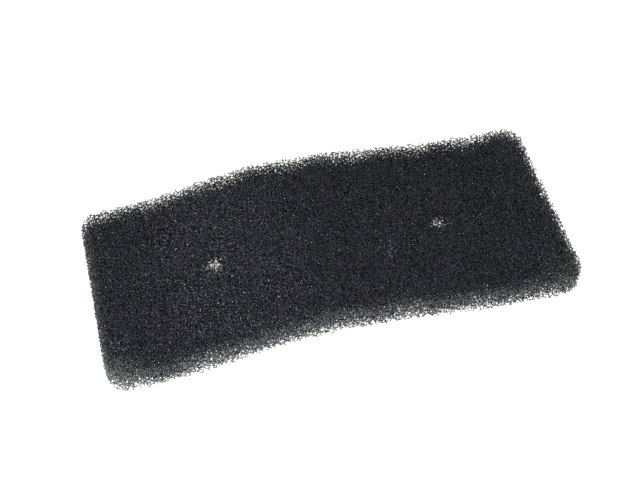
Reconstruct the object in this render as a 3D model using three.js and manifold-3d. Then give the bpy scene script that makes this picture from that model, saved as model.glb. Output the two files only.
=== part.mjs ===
// Flat foam element of an engine's air cleaner: one rectangular pad of open-cell foam with
// rounded corners and two small peg holes, bowed up along its length by storage.
// Millimetres, +Z up, +X along the pad. The origin is the middle of its base, at rest height.
import * as THREE from "three";
import { mergeVertices } from "three/addons/utils/BufferGeometryUtils.js";
import Module from "manifold-3d";

// The pad
const PAD_LENGTH = 230;
const PAD_WIDTH = 100;
const PAD_THICKNESS = 13;
const CORNER_RADIUS = 10;

// The bow: both ends lie flat, and the stretch between them rises to a crest.
const BOW_HEIGHT = 11;
const LEFT_FOOT_LENGTH = 18;
const RIGHT_FOOT_LENGTH = 18;
const CREST_X = -15;
const CREST_SKEW = -0.095; // how far the crest moves along X for each millimetre along Y

// The peg holes, cut straight down through the pad near its centreline
const HOLE_DIAMETER = 7.5;
const LEFT_HOLE_X = -55;
const RIGHT_HOLE_X = 57.5;
const HOLE_Y = 1.5;

// How finely the curved surfaces are divided
const BOW_STEPS = 46;
const WIDTH_STEPS = 4;
const HOLE_SIDES = 32;
const CORNER_STEPS = 8;

const CUT_OVERRUN = 5; // how far a cutting solid reaches past the faces that it cuts

const wasm = await Module();
wasm.setup();

// A closed three.js geometry as a manifold solid.
function solidFrom(geometry) {
  const bare = new THREE.BufferGeometry();
  bare.setAttribute("position", geometry.getAttribute("position"));
  bare.setIndex(geometry.getIndex());
  const merged = mergeVertices(bare, 1e-4);
  return new wasm.Manifold(
    new wasm.Mesh({
      numProp: 3,
      vertProperties: merged.getAttribute("position").array,
      triVerts: new Uint32Array(merged.getIndex().array),
    }),
  );
}

// A manifold solid as a three.js geometry.
function geometryFrom(solid) {
  const mesh = solid.getMesh();
  const geometry = new THREE.BufferGeometry();
  geometry.setAttribute("position", new THREE.BufferAttribute(mesh.vertProperties, 3));
  geometry.setIndex(new THREE.BufferAttribute(mesh.triVerts, 1));
  geometry.computeVertexNormals();
  return geometry;
}

// How far the pad is lifted at a place along and across it: a raised cosine on each side of
// the crest, which meets the flat feet level.
function bowLift(x, y) {
  const crest = CREST_X + CREST_SKEW * y;
  const leftRun = crest - (LEFT_FOOT_LENGTH - PAD_LENGTH / 2);
  const rightRun = PAD_LENGTH / 2 - RIGHT_FOOT_LENGTH - crest;
  const share = Math.abs(x - crest) / (x < crest ? leftRun : rightRun);
  return share < 1 ? BOW_HEIGHT * Math.cos((share * Math.PI) / 2) ** 2 : 0;
}

// The pad before its corners are rounded: a finely divided slab, lifted along the bow.
function bowedSlab() {
  const slab = new THREE.BoxGeometry(
    PAD_LENGTH,
    PAD_WIDTH,
    PAD_THICKNESS,
    BOW_STEPS,
    WIDTH_STEPS,
    1,
  );
  slab.translate(0, 0, PAD_THICKNESS / 2);
  const position = slab.getAttribute("position");
  for (let i = 0; i < position.count; i += 1) {
    const lift = bowLift(position.getX(i), position.getY(i));
    position.setZ(i, position.getZ(i) + lift);
  }
  return solidFrom(slab);
}

// An upright prism with the pad's outline, which trims the slab's corners round.
function outlinePrism() {
  const right = PAD_LENGTH / 2;
  const back = PAD_WIDTH / 2;
  const r = Math.min(CORNER_RADIUS, right, back);
  const outline = new THREE.Shape();
  outline.moveTo(-right + r, -back);
  outline.lineTo(right - r, -back);
  outline.absarc(right - r, -back + r, r, -Math.PI / 2, 0);
  outline.lineTo(right, back - r);
  outline.absarc(right - r, back - r, r, 0, Math.PI / 2);
  outline.lineTo(-right + r, back);
  outline.absarc(-right + r, back - r, r, Math.PI / 2, Math.PI);
  outline.lineTo(-right, -back + r);
  outline.absarc(-right + r, -back + r, r, Math.PI, 1.5 * Math.PI);
  const depth = PAD_THICKNESS + BOW_HEIGHT + 2 * CUT_OVERRUN;
  const prism = new THREE.ExtrudeGeometry(outline, {
    depth,
    bevelEnabled: false,
    curveSegments: CORNER_STEPS,
  });
  prism.translate(0, 0, -CUT_OVERRUN);
  return solidFrom(prism);
}

// The cutter of one peg hole.
function holeCutter(x) {
  const height = PAD_THICKNESS + BOW_HEIGHT + 2 * CUT_OVERRUN;
  const radius = HOLE_DIAMETER / 2;
  const cutter = new THREE.CylinderGeometry(radius, radius, height, HOLE_SIDES);
  cutter.rotateX(Math.PI / 2);
  cutter.translate(x, HOLE_Y, height / 2 - CUT_OVERRUN);
  return solidFrom(cutter);
}

const charcoalFoam = new THREE.MeshStandardMaterial({
  color: 0x2a2d30,
  roughness: 0.75,
  metalness: 0,
});

let padSolid = bowedSlab().intersect(outlinePrism());
for (const x of [LEFT_HOLE_X, RIGHT_HOLE_X]) {
  padSolid = padSolid.subtract(holeCutter(x));
}

const foamElement = new THREE.Mesh(geometryFrom(padSolid), charcoalFoam);
foamElement.name = "foam_element";

const airFilterElement = new THREE.Group();
airFilterElement.add(foamElement);

export default airFilterElement;
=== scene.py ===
"""Foam air filter element: one rectangular pad of charcoal open-cell foam with two peg holes.

The pad is built strand by strand, as the foam is: a net of open cells whose strands meet four
at a node, through the whole thickness.
"""

import math

import bpy
import numpy as np
from mathutils import Matrix, Vector


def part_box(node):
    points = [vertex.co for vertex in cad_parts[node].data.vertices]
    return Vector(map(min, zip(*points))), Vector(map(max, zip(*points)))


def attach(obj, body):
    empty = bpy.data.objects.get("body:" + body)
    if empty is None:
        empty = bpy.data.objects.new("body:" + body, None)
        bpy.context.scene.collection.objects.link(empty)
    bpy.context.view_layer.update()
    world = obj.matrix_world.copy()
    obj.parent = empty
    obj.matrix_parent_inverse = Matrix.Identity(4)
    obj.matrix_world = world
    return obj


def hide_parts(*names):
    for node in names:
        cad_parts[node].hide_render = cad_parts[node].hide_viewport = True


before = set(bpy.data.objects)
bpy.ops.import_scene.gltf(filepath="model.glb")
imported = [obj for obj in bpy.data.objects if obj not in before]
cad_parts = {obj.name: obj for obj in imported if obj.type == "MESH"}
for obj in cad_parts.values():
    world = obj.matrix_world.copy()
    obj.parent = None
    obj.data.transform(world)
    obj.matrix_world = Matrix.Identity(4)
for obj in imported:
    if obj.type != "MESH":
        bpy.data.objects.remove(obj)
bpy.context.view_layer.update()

# ---------------------------------------------------------------------------------------------
# Camera
# It looks down on the pad from in front and a little to its left, through a long lens.
CAMERA_PITCH = math.radians(51.9)
CAMERA_TURN = math.radians(12.3)
CAMERA_ROLL = math.radians(-2.2)
CAMERA_DISTANCE = 0.612
CAMERA_TARGET = Vector((-0.0003, 0.0126, 0.0))
CAMERA_LENS = 68.8  # in millimetres, as is the sensor's width
CAMERA_SENSOR = 36.0
CAMERA_NEAREST = 0.01

level = math.cos(CAMERA_PITCH)
ahead = Vector(
    (
        math.sin(CAMERA_TURN) * level,
        math.cos(CAMERA_TURN) * level,
        -math.sin(CAMERA_PITCH),
    )
)
aside = Vector((math.cos(CAMERA_TURN), -math.sin(CAMERA_TURN), 0.0))
above = aside.cross(ahead)
turned_aside = math.cos(CAMERA_ROLL) * aside + math.sin(CAMERA_ROLL) * above
turned_above = turned_aside.cross(ahead)
camera_data = bpy.data.cameras.new("camera")
camera_data.lens = CAMERA_LENS
camera_data.sensor_width = CAMERA_SENSOR
camera_data.clip_start = CAMERA_NEAREST
camera = bpy.data.objects.new("camera", camera_data)
bpy.context.scene.collection.objects.link(camera)
turn = Matrix((turned_aside, turned_above, -ahead)).transposed().to_4x4()
camera.matrix_world = Matrix.Translation(CAMERA_TARGET - CAMERA_DISTANCE * ahead) @ turn
bpy.context.scene.camera = camera

# ---------------------------------------------------------------------------------------------
# Foam pad
# One rectangle die-cut from a sheet of charcoal reticulated polyurethane foam, with rounded
# corners and two punched peg holes. Nothing fixes it: it rests on its two flat ends, and storage
# has bowed the stretch between them up to a crest that runs a little askew.
low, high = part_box("foam_element")
PAD_LENGTH = high[0] - low[0]
PAD_WIDTH = high[1] - low[1]
BOW_HEIGHT = 0.011
PAD_THICKNESS = high[2] - low[2] - BOW_HEIGHT
CORNER_RADIUS = 0.010
FRONT_FRAY = 0.0008  # how far the strands of the front side stand proud of the cut
FOOT_LENGTH = 0.018
CREST_X = -0.015
CREST_SKEW = -0.095  # how far the crest moves along X for each metre along Y
HOLE_RADIUS = 0.00375
HOLE_CENTRES = ((-0.055, 0.0015), (0.0575, 0.0015))


def bow_lift(x, y):
    """How far the bow lifts the pad at a place: a raised cosine on each side of the crest."""
    crest = CREST_X + CREST_SKEW * y
    run = PAD_LENGTH / 2 - FOOT_LENGTH + np.where(x < crest, crest, -crest)
    share = np.minimum(np.abs(x - crest) / run, 1.0)
    return BOW_HEIGHT * np.cos(share * math.pi / 2) ** 2


def side_depth(p):
    """How far inside the pad's outline a point of the flat pad is, with rounded corners."""
    x = np.abs(p[:, 0]) - (PAD_LENGTH / 2 - CORNER_RADIUS)
    y = np.abs(p[:, 1] + FRONT_FRAY / 2) - (PAD_WIDTH / 2 + FRONT_FRAY / 2 - CORNER_RADIUS)
    outside = np.hypot(np.maximum(x, 0), np.maximum(y, 0))
    return CORNER_RADIUS - outside - np.minimum(np.maximum(x, y), 0)


def hole_depth(p):
    """How far outside the nearer peg hole's wall a point is, and under 0 in the hole."""
    away = [np.hypot(p[:, 0] - x, p[:, 1] - y) for x, y in HOLE_CENTRES]
    return np.minimum(*away) - HOLE_RADIUS


def solid_depth(p):
    """How deep in the unpunched pad a point of the flat pad is, and under 0 outside it."""
    faces = np.minimum(PAD_THICKNESS - p[:, 2], p[:, 2])
    return np.minimum(side_depth(p), faces)


def skin_depth(p):
    """How deep in the foam a point of the flat pad is, and under 0 outside it."""
    return np.minimum(solid_depth(p), hole_depth(p))


# The foam's net: open cells about 3 mm across that share their edges, four strands to a node,
# with the windows between them blown out. It starts as a regular net of fourteen-sided cells,
# turned askew to the pad. Then every node is shifted at random and the whole is slowly warped.
CELL = 0.0031
NET_TURN = Matrix.Rotation(0.52, 3, "Z") @ Matrix.Rotation(0.61, 3, "X")
NODE_SHIFT = 0.13  # the usual shift of a node, in cells
SHIFT_LIMIT = 1.8  # the most it may be, in usual shifts
SHIFT_SEED = 21
SHIFT_COUNT = 1 << 20  # how many shifts are drawn for the nodes to pick from
SHIFT_KEYS = (73856093, 19349663, 83492791)  # large primes that scatter the nodes' picks
WARP = 0.4  # how far the slow warp moves a cell, in cells
WARP_CELLS = 9.0  # how long its waves are, in cells
WARP_WAVES = 4
WARP_SEED = 22
HOLE_STRAYS = (0.3, 0.14)  # the share of nodes left standing in the left and right peg hole
STRAY_SEED = 23


def net_nodes():
    """The net's nodes about the pad, in quarter cells along the net's own axes."""
    to_net = np.array(NET_TURN.inverted())
    half = np.array((PAD_LENGTH, PAD_WIDTH, PAD_THICKNESS)) / 2 + 2 * CELL
    reach = np.ceil(np.abs(to_net) @ half / CELL).astype(int) + 1
    axes = [np.arange(-n, n + 1) for n in reach]
    blocks = np.stack(np.meshgrid(*axes, indexing="ij"), -1).reshape(-1, 3)
    middles = (blocks + 0.5) * CELL @ to_net
    blocks = blocks[(np.abs(middles) < half).all(axis=1)]
    corner = [
        p
        for p in np.ndindex(4, 4, 4)
        if sum(v % 2 for v in p) == 1 and sum(v for v in p if v % 2 == 0) == 2
    ]
    return (blocks[:, None] * 4 + np.array(corner)).reshape(-1, 3)


def neighbours_of(q):
    """The four nodes that each node's strands run to, in quarter cells."""
    rows = np.arange(len(q))
    odd = np.argmax(q % 2, axis=1)  # the one axis along which a node's place is an odd number
    here = q[rows, odd]
    found = []
    for axis in (1, 2):
        along = (odd + axis) % 3
        up = (here + 1 - q[rows, along]) % 4 == 0
        for step in (-1, 1):
            end = q.copy()
            end[rows, along] += step
            end[rows, odd] = np.where(up, here + 1, here - 1)
            found.append(end)
    return np.stack(found, axis=1)


def placed(q):
    """Where each node is in the flat pad: shifted at random, turned and warped.

    A node's shift is picked by its place in the net, so that it is the same for all its strands.
    """
    p = q * (CELL / 4)
    picks = np.abs((q * SHIFT_KEYS).sum(1)) % SHIFT_COUNT
    shifts = np.random.default_rng(SHIFT_SEED).normal(0, 1, (SHIFT_COUNT, 3))
    p = p + NODE_SHIFT * CELL * np.clip(shifts[picks], -SHIFT_LIMIT, SHIFT_LIMIT)
    p = p @ np.array(NET_TURN).T
    p[:, 2] += PAD_THICKNESS / 2
    waves = np.random.default_rng(WARP_SEED)
    moved = np.zeros_like(p)
    for _ in range(WARP_WAVES):
        way = waves.normal(size=3)
        way *= 2 * math.pi / (WARP_CELLS * CELL * np.linalg.norm(way))
        push = waves.normal(size=3) * (WARP * CELL / math.sqrt(WARP_WAVES))
        moved += np.sin(p @ way + waves.uniform(0, 2 * math.pi))[:, None] * push
    return p + moved


# The die cuts keep the nodes inside the foam, and each peg hole keeps a few strays.
quarters = net_nodes()
places = placed(quarters)
stray_share = np.where(places[:, 0] < 0, *HOLE_STRAYS)
stray = np.random.default_rng(STRAY_SEED).random(len(places)) < stray_share
in_hole = (hole_depth(places) < 0) & stray
kept = np.where(in_hole, solid_depth(places), skin_depth(places)) > 0
quarters, places = quarters[kept], places[kept]
ends = placed(neighbours_of(quarters).reshape(-1, 3)).reshape(-1, 4, 3)

# Each node is one knot of eight points: four at its root, and the tip of each of its four arms.
# The arms taper towards the next knots, each of which sends one back along the same strand.
KNOT_RADIUS = 0.00032
KNOT_SPREAD = 0.16  # how much the knots differ in size
SHADE_SPREAD = 0.2  # how much they differ in shade
PAINTED_GLINT_SHARE = 0.025  # the share of them painted pale as glints, a painted highlight
PAINTED_GLINT_GAIN = 2.6  # how much paler those are
PAINTED_GLINT_SWELL = 1.3  # and how much larger
KNOT_SEED = 20
KNOT_POINTS = 8
KNOT_ARMS = ((1, 2, 3, 4), (0, 3, 2, 5), (0, 1, 3, 6), (0, 2, 1, 7))  # three roots and a tip
KNOT_MAP = (  # where a knot's points lie in its own square of the surface map
    (0.3, 0.3),
    (0.7, 0.32),
    (0.68, 0.7),
    (0.32, 0.66),
    (0.9, 0.88),
    (0.1, 0.9),
    (0.88, 0.1),
    (0.12, 0.12),
)
draws = np.random.default_rng(KNOT_SEED)
node_size = np.exp(draws.normal(0, KNOT_SPREAD, len(places)))
node_tone_and_glint = np.exp(draws.normal(0, SHADE_SPREAD, len(places)))
# A few knots are painted pale and made a little larger: a painted glint, not a paler strand.
node_painted_glint = draws.random(len(places)) < PAINTED_GLINT_SHARE
node_tone_and_glint = np.where(node_painted_glint, PAINTED_GLINT_GAIN * node_tone_and_glint, node_tone_and_glint)
node_size = np.where(node_painted_glint, PAINTED_GLINT_SWELL * node_size, node_size)

# Strands thicken towards the heart of the pad, where the foam lets no light through, and thin
# at the die-cut sides. They stay slim for longer behind the front side, which is seen into.
# Each pair below is the distance in at which a change starts and the run that it takes.
HEART_SWELL = 1.25
HEART_FROM_ENDS = (0.001, 0.003)
HEART_FROM_BACK = (0.004, 0.004)
HEART_FROM_FRONT = (0.006, 0.008)
HEART_FROM_HOLES = (0.002, 0.004)
HEART_FROM_TOP = (0.0025, 0.0025)
FRONT_SLIMMING = 0.12
FRONT_SLIM_FROM = (0.0015, 0.002)
FRONT_SLIM_UNTIL = (0.010, 0.004)
SKIN_SLIMMING = 0.1
SKIN_UNTIL = (0, 0.003)


def ramp(distance, start, run):
    """0 up to the start and 1 from a run beyond it, with a straight slope between."""
    return np.clip((distance - start) / run, 0, 1)


to_end = PAD_LENGTH / 2 - np.abs(places[:, 0])
to_back = PAD_WIDTH / 2 - places[:, 1]
to_front = PAD_WIDTH / 2 + places[:, 1]
to_side = side_depth(places)
to_top = PAD_THICKNESS - places[:, 2]
heart = ramp(to_end, *HEART_FROM_ENDS) * ramp(to_back, *HEART_FROM_BACK)
heart *= ramp(to_front, *HEART_FROM_FRONT)
heart *= ramp(hole_depth(places), *HEART_FROM_HOLES) * ramp(to_top, *HEART_FROM_TOP)
slim = ramp(to_front, *FRONT_SLIM_FROM) * (1 - ramp(to_front, *FRONT_SLIM_UNTIL))
skin = 1 - ramp(to_side, *SKIN_UNTIL)
node_size *= 1 + HEART_SWELL * heart - FRONT_SLIMMING * slim - SKIN_SLIMMING * skin

# One torn run of strands on the top, right of the middle, shows pale.
TEAR = ((0.0281, -0.0120), (0.0281, -0.0161), (0.0250, -0.0206))
TEAR_WIDTH = 0.0008
TEAR_DEPTH = 0.0022
TEAR_GAIN = 4.5
tear = np.full(len(places), 1.0)
for (x0, y0), (x1, y1) in zip(TEAR, TEAR[1:]):
    run = np.array((x1 - x0, y1 - y0))
    away = places[:, :2] - (x0, y0)
    along = np.clip(away @ run / (run @ run), 0, 1)
    tear = np.minimum(tear, np.linalg.norm(away - along[:, None] * run, axis=1))
torn = (tear < TEAR_WIDTH) & (to_top < TEAR_DEPTH)
node_tone_and_glint = np.where(torn, TEAR_GAIN, node_tone_and_glint)

# The die-cut sides are painted a little greyer and lighter, partly as scuffing and partly as a
# painted glow of the floor's light through the thin fringe. Three of the corners are painted
# lighter still, as a painted haze of light.
SIDE_SCUFF_AND_GLOW = 0.2
SIDE_SCUFF_AND_GLOW_UNTIL = (0.0005, 0.0055)
CORNER_PAINTED_GLOWS = ((-1, -1, 0.9), (1, -1, 0.7), (1, 1, 0.4))  # which end, which edge, how much
CORNER_PAINTED_GLOW_UNTIL = (0.004, 0.018)
node_scuff_and_glow = SIDE_SCUFF_AND_GLOW * (1 - ramp(to_side, *SIDE_SCUFF_AND_GLOW_UNTIL))
for end, edge, strength in CORNER_PAINTED_GLOWS:
    away = np.hypot(PAD_LENGTH / 2 - end * places[:, 0], PAD_WIDTH / 2 - edge * places[:, 1])
    node_scuff_and_glow = np.maximum(node_scuff_and_glow, strength * (1 - ramp(away, *CORNER_PAINTED_GLOW_UNTIL)))

# An arm that crosses a die cut ends there, or up to half as far again from its node.
TRIM_RANGE = (1.0, 1.5)
TIP_SHADE = 0.9  # an arm's tip is painted darker than its root, so that painted glints sit at the roots; no tip is painted pale unless it is torn
TIP_LIMIT = 1.0
node_trim = draws.uniform(*TRIM_RANGE, (len(places), 4))


def knot_points(chosen):
    """The roots and the tips of the chosen nodes' knots, in the flat pad."""
    middle, far = places[chosen], ends[chosen]
    span = far - middle[:, None]
    way = span / np.linalg.norm(span, axis=2)[:, :, None]
    stands_in_hole = hole_depth(middle) < 0
    inside = np.where(stands_in_hole, solid_depth(middle), skin_depth(middle))[:, None]
    outside = skin_depth(far.reshape(-1, 3)).reshape(-1, 4)
    unpunched = solid_depth(far.reshape(-1, 3)).reshape(-1, 4)
    outside = np.where(stands_in_hole[:, None], unpunched, outside)
    cut = node_trim[chosen] * inside / np.maximum(inside - outside, 1e-9)
    share = np.where(outside < 0, np.minimum(cut, 1.0), 1.0)
    root = middle[:, None] - KNOT_RADIUS * node_size[chosen][:, None, None] * way
    return root, middle[:, None] + span * share[:, :, None]


def knot_faces(root):
    """Three faces round each arm of each knot, which point outwards."""
    one, two, three = (root[:, i] - root[:, 0] for i in (1, 2, 3))
    handed = np.einsum("ij,ij->i", np.cross(one, two), three) > 0
    around = np.array([(arm[i], arm[(i + 1) % 3], arm[3]) for arm in KNOT_ARMS for i in range(3)])
    faces = np.where(handed[:, None, None], around, around[:, [1, 0, 2]])
    return (faces + KNOT_POINTS * np.arange(len(root))[:, None, None]).reshape(-1, 3)


def knot_spots(count):
    """Every knot's points in the surface map, where no face of a knot is a mere line."""
    across = math.ceil(math.sqrt(count))
    square = np.stack(np.divmod(np.arange(count), across), 1)[:, None]
    return ((square + np.array(KNOT_MAP)) / across).reshape(-1, 2)


def strand_piece(name, chosen, material):
    """One slice of the foam: the knots of the chosen nodes, bowed as the pad is."""
    root, tip = knot_points(chosen)
    faces = knot_faces(root)
    points = np.concatenate([root, tip], axis=1)
    points[:, :, 2] = np.maximum(points[:, :, 2], 0)
    points[:, :, 2] += bow_lift(points[:, :, 0], points[:, :, 1])

    mesh = bpy.data.meshes.new(name)
    mesh.vertices.add(len(points) * KNOT_POINTS)
    mesh.vertices.foreach_set("co", points.reshape(-1))
    mesh.loops.add(faces.size)
    mesh.loops.foreach_set("vertex_index", faces.reshape(-1).astype(np.int32))
    mesh.polygons.add(len(faces))
    mesh.polygons.foreach_set("loop_start", np.arange(0, faces.size, 3, dtype=np.int32))
    mesh.polygons.foreach_set("use_smooth", np.ones(len(faces), bool))

    # A knot's tone and any painted glint sit at its root; its tips are painted darker.
    tone_and_glint = np.repeat(node_tone_and_glint[chosen][:, None], KNOT_POINTS, axis=1)
    tips = np.minimum(TIP_SHADE * tone_and_glint[:, 4:], TIP_LIMIT)
    tone_and_glint[:, 4:] = np.where(torn[chosen, None], tone_and_glint[:, 4:], tips)
    # Per knot: scuffing and painted glow near the die-cut sides, painted haze at three corners.
    scuff_and_glow = np.repeat(node_scuff_and_glow[chosen], KNOT_POINTS)
    for attribute, values in (("strand_tone_and_glint", tone_and_glint.reshape(-1)), ("scuff_and_painted_glow", scuff_and_glow)):
        layer = mesh.attributes.new(attribute, "FLOAT", "POINT")
        layer.data.foreach_set("value", values.astype(np.float32))
    spots = knot_spots(len(chosen)).astype(np.float32)
    layer = mesh.uv_layers.new(name="OFBake", do_init=False)
    layer.uv.foreach_set("vector", spots[faces.reshape(-1)].reshape(-1))
    mesh.materials.append(material)
    mesh.update(calc_edges=True)
    mesh.validate()

    piece = bpy.data.objects.new(name, mesh)
    bpy.context.scene.collection.objects.link(piece)
    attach(piece, "root")
    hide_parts("foam_element")


# The foam's finish: charcoal with a slow drift between a green and a purple cast, a tone of
# its own for each knot with a few knots painted pale as glints (a painted highlight), greyer
# and lighter near the die-cut sides (partly scuffing, partly painted glow) and at three
# corners (painted haze of light), and a fine grain in gloss and relief.
GREEN_CAST = (0.0138, 0.0170, 0.0198, 1)
MIDDLE_CAST = (0.0150, 0.0172, 0.0212, 1)
PURPLE_CAST = (0.0172, 0.0163, 0.0218, 1)
CAST_RANGE = (0.32, 0.68)  # where in the drift the green and the purple cast are full
DRIFT_SCALE = 55.0
DRIFT_DETAIL = 1.5
SCUFF_AND_GLOW_GREY = (0.045, 0.0465, 0.047, 1)
SPECULAR = 0.22
GRAIN_SCALE = 2500.0
GRAIN_DETAIL = 2.0
ROUGHNESS_RANGE = (0.3, 0.62)
RELIEF_STRENGTH = 0.3
RELIEF_DEPTH = 0.0001
MIX_FACTOR, MIX_A, MIX_B, MIX_RESULT = 0, 6, 7, 2  # a Mix node's sockets, for colours

strand_foam = bpy.data.materials.new("strand_foam")
strand_foam.use_nodes = True
nodes, links = strand_foam.node_tree.nodes, strand_foam.node_tree.links
shader = nodes["Principled BSDF"]
shader.inputs["Specular IOR Level"].default_value = SPECULAR
place = nodes.new("ShaderNodeTexCoord")

drift = nodes.new("ShaderNodeTexNoise")
drift.inputs["Scale"].default_value = DRIFT_SCALE
drift.inputs["Detail"].default_value = DRIFT_DETAIL
links.new(place.outputs["Object"], drift.inputs["Vector"])
cast = nodes.new("ShaderNodeValToRGB")
green, purple = cast.color_ramp.elements
green.position, purple.position = CAST_RANGE
green.color, purple.color = GREEN_CAST, PURPLE_CAST
cast.color_ramp.elements.new(sum(CAST_RANGE) / 2).color = MIDDLE_CAST
links.new(drift.outputs["Fac"], cast.inputs["Fac"])

# Mix towards a lighter grey where the sides are scuffed and painted with glow, and at the
# corners' painted haze.
scuff_and_glow = nodes.new("ShaderNodeAttribute")
scuff_and_glow.attribute_name = "scuff_and_painted_glow"
scuff_glow_mix = nodes.new("ShaderNodeMix")
scuff_glow_mix.data_type = "RGBA"
scuff_glow_mix.inputs[MIX_B].default_value = SCUFF_AND_GLOW_GREY
links.new(scuff_and_glow.outputs["Fac"], scuff_glow_mix.inputs[MIX_FACTOR])
links.new(cast.outputs["Color"], scuff_glow_mix.inputs[MIX_A])
# Multiply by each knot's own tone, which also holds the painted glints.
tone_and_glint = nodes.new("ShaderNodeAttribute")
tone_and_glint.attribute_name = "strand_tone_and_glint"
tint = nodes.new("ShaderNodeMix")
tint.data_type = "RGBA"
tint.blend_type = "MULTIPLY"
tint.inputs[MIX_FACTOR].default_value = 1.0
links.new(scuff_glow_mix.outputs[MIX_RESULT], tint.inputs[MIX_A])
links.new(tone_and_glint.outputs["Fac"], tint.inputs[MIX_B])
links.new(tint.outputs[MIX_RESULT], shader.inputs["Base Color"])

grain = nodes.new("ShaderNodeTexNoise")
grain.inputs["Scale"].default_value = GRAIN_SCALE
grain.inputs["Detail"].default_value = GRAIN_DETAIL
links.new(place.outputs["Object"], grain.inputs["Vector"])
gloss = nodes.new("ShaderNodeMapRange")
gloss.inputs["To Min"].default_value, gloss.inputs["To Max"].default_value = ROUGHNESS_RANGE
links.new(grain.outputs["Fac"], gloss.inputs["Value"])
links.new(gloss.outputs["Result"], shader.inputs["Roughness"])
pits = nodes.new("ShaderNodeBump")
pits.inputs["Strength"].default_value = RELIEF_STRENGTH
pits.inputs["Distance"].default_value = RELIEF_DEPTH
links.new(grain.outputs["Fac"], pits.inputs["Height"])
links.new(pits.outputs["Normal"], shader.inputs["Normal"])

# The pad is one piece of foam. It is laid out in even slices along its length only so that no
# mesh is too heavy.
SLICES = 12
slice_of = np.clip((places[:, 0] / PAD_LENGTH + 0.5) * SLICES, 0, SLICES - 1).astype(int)
for i in range(SLICES):
    strand_piece(f"foam_slice_{i + 1:02d}", np.flatnonzero(slice_of == i), strand_foam)

# ---------------------------------------------------------------------------------------------
# Floor
# A wide sheet of pale, faintly luminous white, just under the pad. Its light fills the fringe,
# the peg holes and the gaps between the strands.
FLOOR_SIZE = 6.0
FLOOR_DROP = 0.0003
FLOOR_COLOR = (0.3, 0.304, 0.291, 1)
FLOOR_ROUGHNESS = 0.9
FLOOR_GLOW = (1, 1.016, 0.957, 1)
FLOOR_GLOW_STRENGTH = 0.8

bpy.ops.object.select_all(action="DESELECT")
bpy.ops.mesh.primitive_plane_add(size=FLOOR_SIZE, location=(0, 0, -FLOOR_DROP))
floor = bpy.context.object
floor.name = "floor"
floor_paint = bpy.data.materials.new("floor_paint")
floor_paint.use_nodes = True
paint = floor_paint.node_tree.nodes["Principled BSDF"]
paint.inputs["Base Color"].default_value = FLOOR_COLOR
paint.inputs["Roughness"].default_value = FLOOR_ROUGHNESS
paint.inputs["Emission Color"].default_value = FLOOR_GLOW
paint.inputs["Emission Strength"].default_value = FLOOR_GLOW_STRENGTH
floor.data.materials.append(floor_paint)

# ---------------------------------------------------------------------------------------------
# Studio light
# A weak sky from all round, and three round lamps: the key just behind the camera, so that it
# reaches deep into the gaps, a large soft fill, and a low one that rakes the front side.
SKY_COLOR = (0.9, 0.95, 1, 1)
SKY_STRENGTH = 0.4
BACKDROP_COLOR = (0.9, 0.9, 0.9, 1)
KEY_BEHIND_CAMERA = 0.05
LAMPS = (  # name, place, width and watts
    ("key", tuple(camera.location - KEY_BEHIND_CAMERA * ahead), 0.08, 8.2),
    ("fill", (0.6, 0.4, 0.9), 0.6, 2),
    ("front", (-0.52, -0.56, 0.05), 0.1, 23),
)

# The sky lights the pad, but past the floor the camera sees a plain pale backdrop.
world = bpy.data.worlds.new("studio")
world.use_nodes = True
studio, wires = world.node_tree.nodes, world.node_tree.links
sky = studio["Background"]
sky.inputs["Color"].default_value = SKY_COLOR
sky.inputs["Strength"].default_value = SKY_STRENGTH
backdrop = studio.new("ShaderNodeBackground")
backdrop.inputs["Color"].default_value = BACKDROP_COLOR
seen = studio.new("ShaderNodeLightPath")
either = studio.new("ShaderNodeMixShader")
wires.new(seen.outputs["Is Camera Ray"], either.inputs["Fac"])
wires.new(sky.outputs["Background"], either.inputs[1])
wires.new(backdrop.outputs["Background"], either.inputs[2])
wires.new(either.outputs["Shader"], studio["World Output"].inputs["Surface"])
bpy.context.scene.world = world

for name, spot, width, power in LAMPS:
    light = bpy.data.lights.new(name, "AREA")
    light.shape = "DISK"
    light.size = width
    light.energy = power
    lamp = bpy.data.objects.new(name, light)
    lamp.location = spot
    lamp.rotation_euler = (-Vector(spot)).to_track_quat("-Z", "Y").to_euler()
    bpy.context.scene.collection.objects.link(lamp)

bpy.context.scene.view_settings.view_transform = "Standard"
bpy.context.scene.cycles.use_denoising = False  # it would smear the strands together
